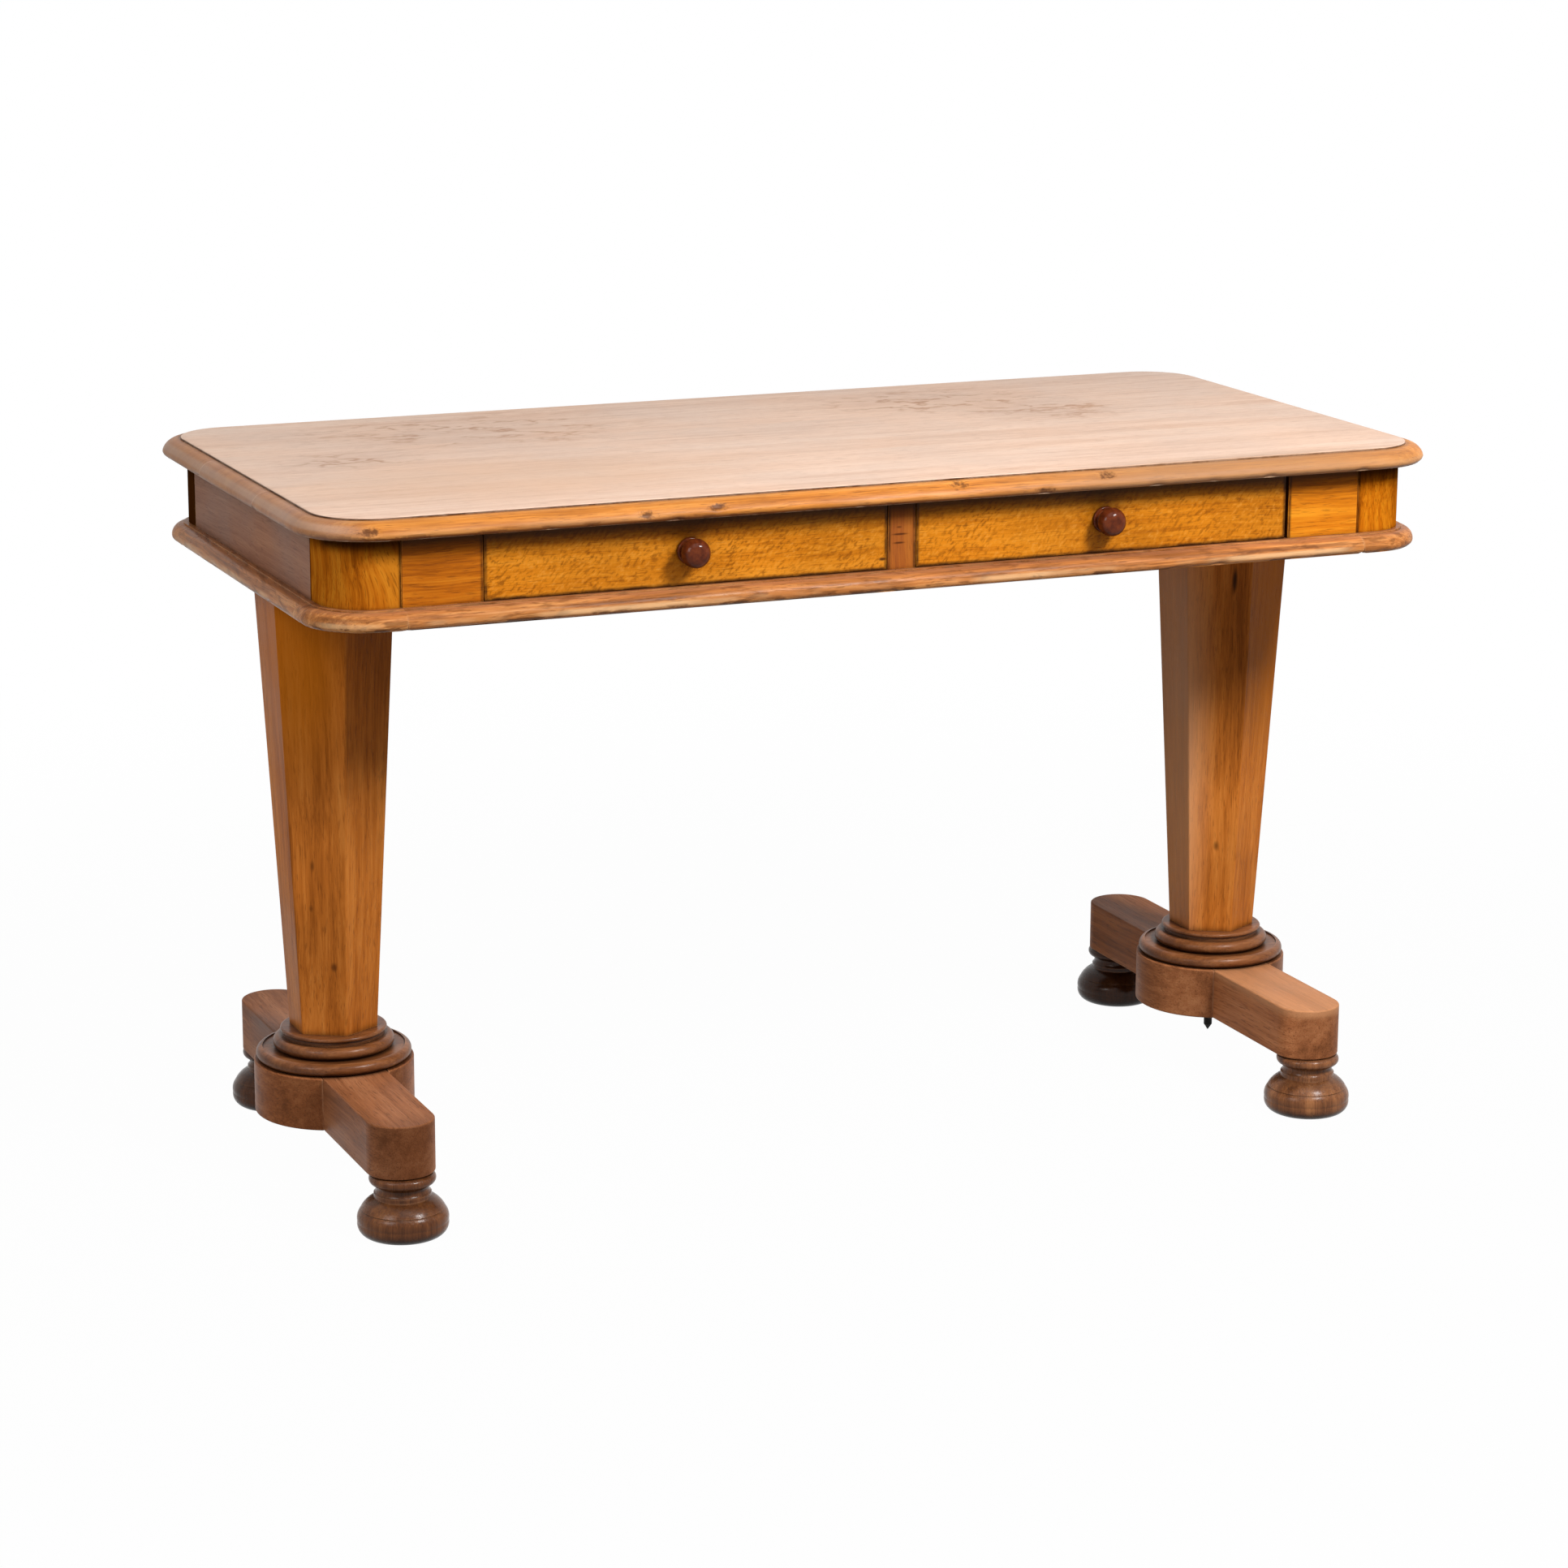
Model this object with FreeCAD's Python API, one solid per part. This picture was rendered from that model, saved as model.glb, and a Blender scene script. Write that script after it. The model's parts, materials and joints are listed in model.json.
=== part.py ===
import FreeCAD, Part
import math
import os
from FreeCAD import Vector

# Writing table on two pedestals, in millimetres.
# X runs along the length, -Y is the front with the drawers, Z is up, the floor is at zero.

# Whole table
table_length = 1228.0
table_depth = 606.0
table_height = 734.0

# Top: flat field, a small step, then a thumb-moulded edge
top_thickness = 20.0
top_middle_board = 190.0
top_overhang = 28.0
top_end_overhang = 25.0
top_corner_radius = 77.0
top_nosing_width = 19.0
top_nosing_drop = 11.5
top_nosing_return = 4.5
top_step_drop = 2.5
top_step_round = 1.2

# Frieze: corner blocks, rails, short front blocks and a muntin between the drawers
frieze_height = 69.8
frieze_thickness = 22.0
frieze_corner_radius = 49.0
corner_block_length = 69.0
corner_block_depth = 70.0
front_block_length = 81.6
muntin_width = 30.2
muntin_depth = 40.0
muntin_stub = 9.0
tenon_length = 12.0
tenon_thickness = 8.0
tenon_shoulder = 10.0
joint_chamfer = 0.6

# Moulded base frame under the frieze
base_thickness = 19.2
base_inner_width = 40.0
base_ledge_width = 5.5
base_quirk_drop = 1.6
base_projection = 18.0
base_nose_height = 6.0
base_nose_return = 4.0

# Cross bearers that take the pedestals
bearer_width = 70.0
bearer_height = 45.0

# Drawer runners, guides and stops
runner_bearing = 26.0
guide_width = 20.0
guide_height = 38.0
guide_clearance = 0.5
stop_length = 30.0
stop_width = 16.0
stop_height = 4.6
stop_gap = 0.3
stop_shares = (0.27, 0.73)

# Drawers
drawer_back_gap = 88.0
drawer_front_thickness = 20.0
drawer_side_thickness = 10.0
drawer_back_thickness = 10.0
drawer_back_setdown = 8.0
drawer_bottom_thickness = 6.0
drawer_bottom_lift = 7.0
drawer_groove = 5.0
drawer_lap = 6.0
drawer_lift = 0.3
drawer_top_gap = 1.0
drawer_side_gap = 0.8
drawer_worn_gap = 3.6
drawer_edge_round = 1.0
tail_root = 16.0
tail_flare = 3.0
tail_shares = (0.27, 0.73)
pin_shares = (0.25, 0.75)
pin_height = 12.0

# Drawer knobs
knob_projection = 27.6
knob_head_radius = 14.4
knob_head_length = 18.6
knob_face_radius = 3.6
knob_neck_radius = 8.4
knob_flange_radius = 13.6
knob_flange_length = 3.6
knob_spigot_radius = 6.0

# Glue blocks under the top and the screws through them
block_length = 40.0
block_width = 20.0
block_height = 24.0
back_block_shares = (-0.65, -0.22, 0.22, 0.65)
end_block_shares = (-0.4, 0.4)
screw_radius = 2.2
screw_head_radius = 4.4
screw_head_depth = 3.2
screw_bite = 13.0

# Columns: hexagons that taper downwards, with round tenons
column_top_flats = 126.6
column_foot_flats = 80.5
column_edge_round = 2.2
column_sides = 6
column_tenon_radius = 20.0
column_top_tenon = 38.0
column_foot_tenon = 38.0

# Turned collars
collar_height = 33.6
collar_lower_radius = 80.0
collar_lower_bead = 13.0
collar_groove = 1.6
collar_upper_radius = 62.5
collar_upper_bead = 13.4
collar_lip_radius = 55.0
collar_lip_bead = 4.6
collar_lip_setback = 3.0

# Pedestal bases: a bar with two glued cheeks that make it round in the middle
bar_length = 506.0
bar_width = 70.0
bar_thickness = 55.2
bar_edge_round = 1.8
boss_radius = 82.4

# Turned feet
foot_height = 63.7
foot_inset = 29.0
foot_radius = 45.5
foot_widest_height = 14.0
foot_contact_radius = 38.0
foot_bead_radius = 33.6
foot_bead_height = 11.2
foot_neck_radius = 26.4
foot_neck_height = 9.0
foot_fillet_radius = 28.8
foot_fillet_height = 4.5
foot_shoulder_radius = 42.0
foot_shoulder_height = 11.6
foot_shoulder_swell = 1.4
foot_quirk = 0.9
foot_spigot_radius = 12.0
foot_spigot_length = 30.0

# Tie bolts through the pedestals
bolt_radius = 4.6
bolt_tail = 38.5
bolt_point = 7.0
bolt_head_flats = 17.0
bolt_head_height = 7.0
nut_flats = 17.0
nut_height = 9.0
washer_radius = 15.0
washer_thickness = 2.5

# Clearances
bore_clearance = 0.2
overrun = 2.0

# Plain ratios and angles
quarter_share = math.sqrt(0.5)
full_turn = 360.0
quarter_turn = 90.0

# Levels and faces worked out from the sizes above
top_under = table_height - top_thickness
frieze_under = top_under - frieze_height
base_under = frieze_under - base_thickness
bar_top = foot_height + bar_thickness
collar_top = bar_top + collar_height
bearer_top = base_under + bearer_height
face_x = table_length / 2 - top_end_overhang
face_y = table_depth / 2 - top_overhang
inner_y = face_y - frieze_thickness
block_x = face_x - corner_block_length
block_y = face_y - corner_block_depth
opening_x = block_x - front_block_length
rail_x = face_x - base_inner_width
rail_y = face_y - base_inner_width
bearer_in = rail_x - bearer_width
column_x = rail_x - bearer_width / 2
drawer_under = frieze_under + drawer_lift
drawer_over = top_under - drawer_top_gap
drawer_end = inner_y - drawer_back_gap
runner_in = opening_x - runner_bearing
up = Vector(0, 0, 1)
sides = (("left", -1), ("right", 1))
ends = (("front", -1), ("back", 1))


def box(x0, x1, y0, y1, z0, z1):
    return Part.makeBox(x1 - x0, y1 - y0, z1 - z0, Vector(x0, y0, z0))


def rod(radius, x, y, z0, z1):
    return Part.makeCylinder(radius, z1 - z0, Vector(x, y, z0))


def bore(radius, x, y, z0, z1):
    return rod(radius + bore_clearance, x, y, z0, z1)


def mirrored(shape, x_sign, y_sign):
    """Copy of a shape made for +X and +Y, flipped to the given side and end."""
    if x_sign < 0:
        shape = shape.mirror(Vector(), Vector(1, 0, 0))
    if y_sign < 0:
        shape = shape.mirror(Vector(), Vector(0, 1, 0))
    return shape


def joined(shapes):
    return shapes[0].fuse(shapes[1:]).removeSplitter()


def is_level(edge):
    return math.isclose(edge.Vertexes[0].Z, edge.Vertexes[-1].Z)


def upright_edges(shape):
    return [edge for edge in shape.Edges if not is_level(edge)]


def level_edges(shape):
    return [edge for edge in shape.Edges if is_level(edge)]


def section(start, *moves):
    """Closed face in the XZ plane: a move of one point is a line, of two an arc through the first."""
    first = Vector(start[0], 0, start[1])
    here = first
    edges = []
    for move in moves:
        points = [Vector(u, 0, z) for u, z in move]
        if len(points) == 1:
            edges.append(Part.makeLine(here, points[0]))
        else:
            edges.append(Part.Arc(here, points[0], points[1]).toShape())
        here = points[-1]
    edges.append(Part.makeLine(here, first))
    return Part.Face(Part.Wire(edges))


def over(u0, z0, u1, z1):
    """Arc that leaves (u0, z0) level and reaches (u1, z1) upright."""
    return [(u0 + (u1 - u0) * quarter_share, z1 + (z0 - z1) * quarter_share), (u1, z1)]


def under(u0, z0, u1, z1):
    """Arc that leaves (u0, z0) upright and reaches (u1, z1) level."""
    return [(u1 + (u0 - u1) * quarter_share, z0 + (z1 - z0) * quarter_share), (u1, z1)]


def swollen(u0, z0, u1, z1, swell):
    """Shallow arc from (u0, z0) to (u1, z1) that swells outwards in its middle."""
    share = swell / math.hypot(u1 - u0, z1 - z0)
    return [((u0 + u1) / 2 + (z0 - z1) * share, (z0 + z1) / 2 + (u1 - u0) * share), (u1, z1)]


def bead(radius, z_high, z_low):
    """Half-round bead on a turning, from its top down to its foot."""
    swell = (z_high - z_low) / 2
    return [(radius, z_low + swell), (radius - swell, z_low)]


def turned(face, x, y):
    shape = face.revolve(Vector(), up, full_turn)
    shape.translate(Vector(x, y, 0))
    return shape


def straight_run(face, reach, start, end, angle):
    """Section carried along a straight side that lies reach away from the middle."""
    run = face.extrude(Vector(0, end - start, 0))
    run.translate(Vector(reach, start, 0))
    run.rotate(Vector(), up, angle)
    return run


def corner_run(face, radius, x, y):
    """Section turned through the rounded corner whose centre is (x, y)."""
    placed = face.copy()
    placed.translate(Vector(radius, 0, 0))
    run = placed.revolve(Vector(), up, quarter_turn)
    run.translate(Vector(x, y, 0))
    return run


def hexagon(flats, x, y, z):
    """Corner points of a hexagon with flats towards +X and -X."""
    reach = flats / 2 / math.cos(math.pi / column_sides)
    points = []
    for number in range(column_sides):
        angle = math.pi * (2 * number + 1) / column_sides
        points.append(Vector(x + reach * math.cos(angle), y + reach * math.sin(angle), z))
    return points


def polygon_wire(points):
    return Part.makePolygon(points + points[:1])


def polygon_face(points):
    return Part.Face(polygon_wire(points))


def hexagon_prism(flats, x, y, z0, z1):
    return polygon_face(hexagon(flats, x, y, z0)).extrude(Vector(0, 0, z1 - z0))


def screw_places():
    """Centres of the glue blocks, with the X and Y half sizes of each."""
    long_half = block_length / 2
    short_half = block_width / 2
    places = []
    for share in back_block_shares:
        places.append((face_x * share, inner_y - short_half, long_half, short_half))
    for _, x_sign in sides:
        middle = (opening_x + block_x) / 2
        places.append((x_sign * middle, short_half - inner_y, long_half, short_half))
        for share in end_block_shares:
            x = x_sign * (face_x - frieze_thickness - short_half)
            places.append((x, face_y * share, short_half, long_half))
    return places


# Top

def top_section():
    """Rounded arris, step and thumb moulding, measured out from the flat field."""
    step_z = table_height - top_step_drop
    nose_z = step_z - top_nosing_drop
    nose_u = top_step_round + top_nosing_width
    return section(
        (0, table_height),
        over(0, table_height, top_step_round, table_height - top_step_round),
        [(top_step_round, step_z)],
        over(top_step_round, step_z, nose_u, nose_z),
        under(nose_u, nose_z, nose_u - top_nosing_return, top_under),
        [(0, top_under)],
    )


def whole_top():
    edge = top_nosing_width + top_step_round
    field_x = table_length / 2 - edge
    field_y = table_depth / 2 - edge
    radius = top_corner_radius - edge
    field = box(-field_x, field_x, -field_y, field_y, top_under, table_height)
    field = field.makeFillet(radius, upright_edges(field))
    face = top_section()
    pieces = [field]
    for turn, (reach, half) in enumerate(((field_x, field_y), (field_y, field_x)) * 2):
        pieces.append(straight_run(face, reach, radius - half, half - radius, turn * quarter_turn))
    corner = corner_run(face, radius, field_x - radius, field_y - radius)
    for _, x_sign in sides:
        for _, y_sign in ends:
            pieces.append(mirrored(corner, x_sign, y_sign))
    top = joined(pieces)
    for x, y, _, _ in screw_places():
        top = top.cut(bore(screw_radius, x, y, top_under - overrun, top_under + screw_bite))
    return top


def top_boards():
    top = whole_top()
    half_x = table_length / 2 + overrun
    half_y = table_depth / 2 + overrun
    joint = top_middle_board / 2
    strips = {"front": (-half_y, -joint), "middle": (-joint, joint), "back": (joint, half_y)}
    boards = {}
    for name, (y0, y1) in strips.items():
        strip = box(-half_x, half_x, y0, y1, top_under - overrun, table_height + overrun)
        boards["top_board_" + name] = top.common(strip)
    return boards


# Frieze

def chamfered(shape, edges):
    return shape.makeChamfer(joint_chamfer, edges)


def edges_on(shape, x, y):
    """Upright edges of a block that stand on the line at x and y."""
    found = []
    for edge in upright_edges(shape):
        foot = edge.Vertexes[0]
        if math.isclose(foot.X, x) and math.isclose(foot.Y, y):
            found.append(edge)
    return found


def end_rail():
    """Right end rail with a stub tenon at each end."""
    rail = box(face_x - frieze_thickness, face_x, -block_y, block_y, frieze_under, top_under)
    rail = chamfered(rail, edges_on(rail, face_x, block_y) + edges_on(rail, face_x, -block_y))
    middle = face_x - frieze_thickness / 2
    half = tenon_thickness / 2
    reach = block_y + tenon_length
    low = frieze_under + tenon_shoulder
    high = top_under - tenon_shoulder
    return joined([rail, box(middle - half, middle + half, -reach, reach, low, high)])


def long_rail(x0, x1, tenon_x0, tenon_x1):
    """Length of frieze at +Y, from x0 to x1, with its tenons reaching to tenon_x0 and tenon_x1."""
    rail = box(x0, x1, inner_y, face_y, frieze_under, top_under)
    rail = chamfered(rail, edges_on(rail, x0, face_y) + edges_on(rail, x1, face_y))
    middle = face_y - frieze_thickness / 2
    half = tenon_thickness / 2
    low = frieze_under + tenon_shoulder
    high = top_under - tenon_shoulder
    return joined([rail, box(tenon_x0, tenon_x1, middle - half, middle + half, low, high)])


def back_rail():
    reach = block_x + tenon_length
    return long_rail(-block_x, block_x, -reach, reach)


def front_block():
    """Short length of frieze between the right drawer and the right front corner block."""
    return mirrored(long_rail(opening_x, block_x, block_x, block_x + tenon_length), 1, -1)


def corner_block(tenons):
    """Rounded corner block at +X and +Y, mortised for the rails that meet in it."""
    block = box(block_x, face_x, block_y, face_y, frieze_under, top_under)
    block = block.makeFillet(frieze_corner_radius, edges_on(block, face_x, face_y))
    block = chamfered(block, edges_on(block, face_x, block_y) + edges_on(block, block_x, face_y))
    return block.cut(tenons)


def muntin():
    half = muntin_width / 2
    back = muntin_depth - face_y
    post = box(-half, half, -face_y, back, frieze_under, top_under)
    post = chamfered(post, edges_on(post, half, -face_y) + edges_on(post, -half, -face_y))
    inset = muntin_depth / 2 - tenon_thickness / 2
    stub = box(-half, half, -face_y + inset, back - inset, frieze_under - muntin_stub, top_under)
    return joined([post, stub])


def frieze():
    rail = end_rail()
    back = back_rail()
    block = front_block()
    parts = {"back_rail": back, "centre_muntin": muntin()}
    front_corner = corner_block([rail, mirrored(block, 1, -1)])
    back_corner = corner_block([rail, back])
    for side, x_sign in sides:
        parts["end_rail_" + side] = mirrored(rail, x_sign, 1)
        parts["front_block_" + side] = mirrored(block, x_sign, 1)
        parts["corner_block_front_" + side] = mirrored(front_corner, x_sign, -1)
        parts["corner_block_back_" + side] = mirrored(back_corner, x_sign, 1)
    return parts


# Moulded base frame

def base_section():
    """Flat board with a ledge, a quirk and a rounded nose, measured out from the frieze face."""
    quirk_z = frieze_under - base_quirk_drop
    nose_z = base_under + base_nose_height
    return section(
        (-base_inner_width, frieze_under),
        [(base_ledge_width, frieze_under)],
        [(base_ledge_width, quirk_z)],
        over(base_ledge_width, quirk_z, base_projection, nose_z),
        under(base_projection, nose_z, base_projection - base_nose_return, base_under),
        [(-base_inner_width, base_under)],
    )


def base_frame(stub):
    """Four moulded rails and four rounded corner pieces; the front rail is mortised for the muntin."""
    face = base_section()
    centre_x = face_x - frieze_corner_radius
    centre_y = face_y - frieze_corner_radius
    corner = joined([
        corner_run(face, frieze_corner_radius, centre_x, centre_y),
        straight_run(face, face_x, block_y, centre_y, 0),
        straight_run(face, face_y, -centre_x, -block_x, quarter_turn),
    ])
    end = straight_run(face, face_x, -block_y, block_y, 0)
    back = straight_run(face, face_y, -block_x, block_x, quarter_turn)
    parts = {
        "base_rail_back": back,
        "base_rail_front": mirrored(back, 1, -1).cut(stub),
    }
    for side, x_sign in sides:
        parts["base_rail_" + side] = mirrored(end, x_sign, 1)
        for where, y_sign in ends:
            parts["base_corner_" + where + "_" + side] = mirrored(corner, x_sign, y_sign)
    return parts


# Inside the frieze

def bearer():
    """Right cross bearer: lapped over the long base rails, set between the corner blocks, and bored."""
    beam = joined([
        box(bearer_in, rail_x, -block_y, block_y, base_under, bearer_top),
        box(bearer_in, block_x, -rail_y, rail_y, base_under, bearer_top),
        box(bearer_in, block_x, -inner_y, inner_y, frieze_under, bearer_top),
    ])
    tenon = bore(column_tenon_radius, column_x, 0, base_under - overrun, base_under + column_top_tenon)
    hole = bore(bolt_radius, column_x, 0, base_under, bearer_top + overrun)
    return beam.cut([tenon, hole])


def runners():
    half = muntin_width / 2 + runner_bearing
    side = box(runner_in, bearer_in, -rail_y, rail_y, base_under, frieze_under)
    parts = {"drawer_runner_centre": box(-half, half, -rail_y, rail_y, base_under, frieze_under)}
    for name, x_sign in sides:
        parts["drawer_runner_" + name] = mirrored(side, x_sign, 1)
    return parts


def drawer_span(x_sign):
    """Left and right faces of a drawer; the right one has shrunk away from its outer block."""
    near = muntin_width / 2 + drawer_side_gap
    if x_sign < 0:
        return drawer_side_gap - opening_x, -near
    return near, opening_x - drawer_worn_gap


def guides():
    """Strips that keep the drawers square: one beside each outer side and one between them."""
    top = frieze_under + guide_height
    half = muntin_width / 2
    left = drawer_span(-1)[0] - guide_clearance
    right = drawer_span(1)[1] + guide_clearance
    return Part.makeCompound([
        box(left - guide_width, left, -inner_y, inner_y, frieze_under, top),
        box(-half, half, muntin_depth - face_y, inner_y, frieze_under, top),
        box(right, right + guide_width, -inner_y, inner_y, frieze_under, top),
    ])


def stops():
    """Low blocks on the front base rail that a closed drawer front comes up against."""
    y0 = drawer_front_thickness - face_y + stop_gap
    blocks = []
    for _, x_sign in sides:
        x0, x1 = drawer_span(x_sign)
        for share in stop_shares:
            x = x0 + (x1 - x0) * share - stop_length / 2
            top = frieze_under + stop_height
            blocks.append(box(x, x + stop_length, y0, y0 + stop_width, frieze_under, top))
    return Part.makeCompound(blocks)


def screw_taper(radius, x, y):
    """Countersink at the foot of a glue block, or the screw head that sits in it."""
    foot = top_under - block_height
    head = radius + screw_head_radius - screw_radius
    return Part.makeCone(head, radius, screw_head_depth, Vector(x, y, foot))


def glue_blocks():
    blocks = []
    for x, y, half_x, half_y in screw_places():
        block = box(x - half_x, x + half_x, y - half_y, y + half_y, top_under - block_height, top_under)
        hole = bore(screw_radius, x, y, top_under - block_height - overrun, top_under + overrun)
        blocks.append(block.cut([hole, screw_taper(screw_radius + bore_clearance, x, y)]))
    return Part.makeCompound(blocks)


def top_screws():
    screws = []
    for x, y, _, _ in screw_places():
        foot = top_under - block_height
        shank = rod(screw_radius, x, y, foot, top_under + screw_bite - bore_clearance)
        screws.append(joined([shank, screw_taper(screw_radius, x, y)]))
    return Part.makeCompound(screws)


# Drawers

def dovetail(x0, x1, y_root, y_tip, z, root, tip):
    """Flared tail or pin: root and tip are its heights where it starts and where it ends."""
    points = [
        Vector(x0, y_root, z - root / 2),
        Vector(x0, y_tip, z - tip / 2),
        Vector(x0, y_tip, z + tip / 2),
        Vector(x0, y_root, z + root / 2),
    ]
    return polygon_face(points).extrude(Vector(x1 - x0, 0, 0))


def drawer_side(x0, x1):
    """Side with lapped tails that go into the front."""
    root_y = drawer_front_thickness - face_y
    tip_y = drawer_lap - face_y
    pieces = [box(x0, x1, root_y, drawer_end, drawer_under, drawer_over)]
    for share in tail_shares:
        z = drawer_under + (drawer_over - drawer_under) * share
        pieces.append(dovetail(x0, x1, root_y, tip_y, z, tail_root, tail_root + tail_flare))
    return joined(pieces)


def drawer_back(x0, x1):
    """Back between the sides, standing on the bottom, with pins through both sides."""
    low = drawer_under + drawer_bottom_lift + drawer_bottom_thickness
    high = drawer_over - drawer_back_setdown
    inside = (x0 + drawer_side_thickness, x1 - drawer_side_thickness)
    front = drawer_end - drawer_back_thickness
    pieces = [box(*inside, front, drawer_end, low, high)]
    for share in pin_shares:
        z = low + (high - low) * share
        for outer, inner in ((x0, inside[0]), (x1, inside[1])):
            pieces.append(dovetail(outer, inner, front, drawer_end, z, pin_height, pin_height - tail_flare))
    return joined(pieces)


def knob_place(x0, x1):
    return (x0 + x1) / 2, (drawer_under + drawer_over) / 2


def drawer_front(x0, x1):
    y1 = drawer_front_thickness - face_y
    board = box(x0, x1, -face_y, y1, drawer_under, drawer_over)
    shown = [e for e in board.Edges if all(math.isclose(v.Y, -face_y) for v in e.Vertexes)]
    board = board.makeFillet(drawer_edge_round, shown)
    x, z = knob_place(x0, x1)
    hole = Part.makeCylinder(
        knob_spigot_radius + bore_clearance,
        drawer_front_thickness + overrun + overrun,
        Vector(x, y1 + overrun, z),
        Vector(0, -1, 0),
    )
    return board.cut(hole)


def knob(x0, x1):
    """Turned knob: spigot through the front, flange against it, waisted neck and rounded head."""
    head_low = knob_projection - knob_head_length
    head_mid = knob_projection - knob_head_length / 2
    flange_mid = knob_flange_length / 2
    neck_mid = (head_low + knob_flange_length) / 2
    neck_end = (knob_flange_radius + knob_neck_radius) / 2
    face = section(
        (0, -drawer_front_thickness),
        [(knob_spigot_radius, -drawer_front_thickness)],
        [(knob_spigot_radius, 0)],
        [(knob_flange_radius - flange_mid, 0)],
        [(knob_flange_radius, flange_mid), (knob_flange_radius - flange_mid, knob_flange_length)],
        [(neck_end, knob_flange_length)],
        [(knob_neck_radius, neck_mid), (neck_end, head_low)],
        over(neck_end, head_low, knob_head_radius, head_mid),
        under(knob_head_radius, head_mid, knob_face_radius, knob_projection),
        [(0, knob_projection)],
    )
    shape = face.revolve(Vector(), up, full_turn)
    shape.rotate(Vector(), Vector(1, 0, 0), quarter_turn)
    x, z = knob_place(x0, x1)
    shape.translate(Vector(x, -face_y, z))
    return shape


def drawer(name, x_sign):
    x0, x1 = drawer_span(x_sign)
    in0 = x0 + drawer_side_thickness
    in1 = x1 - drawer_side_thickness
    back = drawer_back(x0, x1)
    low = drawer_under + drawer_bottom_lift
    groove_y = drawer_front_thickness - drawer_groove - face_y
    bottom = box(in0 - drawer_groove, in1 + drawer_groove, groove_y, drawer_end, low,
                 low + drawer_bottom_thickness)
    left = drawer_side(x0, in0)
    right = drawer_side(in1, x1)
    front = drawer_front(x0, x1).cut([left, right, bottom])
    return {
        name + "_drawer_front": front,
        name + "_drawer_side_left": left.cut([bottom, back]),
        name + "_drawer_side_right": right.cut([bottom, back]),
        name + "_drawer_back": back,
        name + "_drawer_bottom": bottom,
        name + "_drawer_knob": knob(x0, x1),
    }


# Pedestals, made at +X

def column():
    """Hexagonal column, wider at the top, with a round tenon at each end and a bolt bore."""
    low = polygon_wire(hexagon(column_foot_flats, column_x, 0, collar_top))
    high = polygon_wire(hexagon(column_top_flats, column_x, 0, base_under))
    shaft = Part.makeLoft([low, high], True, True)
    shaft = shaft.makeFillet(column_edge_round, upright_edges(shaft))
    foot = bar_top - column_foot_tenon + bore_clearance
    head = base_under + column_top_tenon - bore_clearance
    tenon = rod(column_tenon_radius, column_x, 0, foot, head)
    hole = bore(bolt_radius, column_x, 0, foot - overrun, head + overrun)
    return joined([shaft, tenon]).cut(hole)


def collar():
    """Turned collar: broad lower bead, groove, upper bead and a thin lip round the column."""
    z1 = bar_top + collar_lower_bead
    z2 = z1 - collar_groove
    z3 = z2 + collar_upper_bead
    z4 = collar_top - collar_lip_bead
    hole = column_tenon_radius + bore_clearance
    face = section(
        (hole, collar_top),
        [(collar_lip_radius - collar_lip_bead / 2, collar_top)],
        bead(collar_lip_radius, collar_top, z4),
        [(collar_lip_radius - collar_lip_setback, z4)],
        [(collar_lip_radius - collar_lip_setback, z3)],
        [(collar_upper_radius - collar_upper_bead / 2, z3)],
        bead(collar_upper_radius, z3, z2),
        [(collar_lower_radius - collar_lower_bead / 2, z2)],
        [(collar_lower_radius - collar_lower_bead / 2, z1)],
        bead(collar_lower_radius, z1, bar_top),
        [(hole, bar_top)],
    )
    return turned(face, column_x, 0)


def base_bar():
    """Bar with half-round ends, bored for the column, the bolt and the two feet."""
    half = bar_width / 2
    end = bar_length / 2
    bar = joined([
        box(column_x - half, column_x + half, half - end, end - half, foot_height, bar_top),
        rod(half, column_x, half - end, foot_height, bar_top),
        rod(half, column_x, end - half, foot_height, bar_top),
    ])
    bar = bar.makeFillet(bar_edge_round, level_edges(bar))
    holes = [
        bore(column_tenon_radius, column_x, 0, bar_top - column_foot_tenon, bar_top + overrun),
        bore(bolt_radius, column_x, 0, foot_height - overrun, bar_top),
    ]
    for _, y_sign in ends:
        y = y_sign * (end - foot_inset)
        top = foot_height + foot_spigot_length
        holes.append(bore(foot_spigot_radius, column_x, y, foot_height - overrun, top))
    return bar.cut(holes)


def cheek():
    """Outer cheek: the part of the round boss beyond the bar."""
    side = column_x + bar_width / 2
    boss = rod(boss_radius, column_x, 0, foot_height, bar_top)
    rims = [edge for edge in boss.Edges if edge.Closed]
    boss = boss.makeFillet(bar_edge_round, rims)
    reach = boss_radius + overrun
    return boss.common(box(side, column_x + reach, -reach, reach, foot_height, bar_top))


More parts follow.
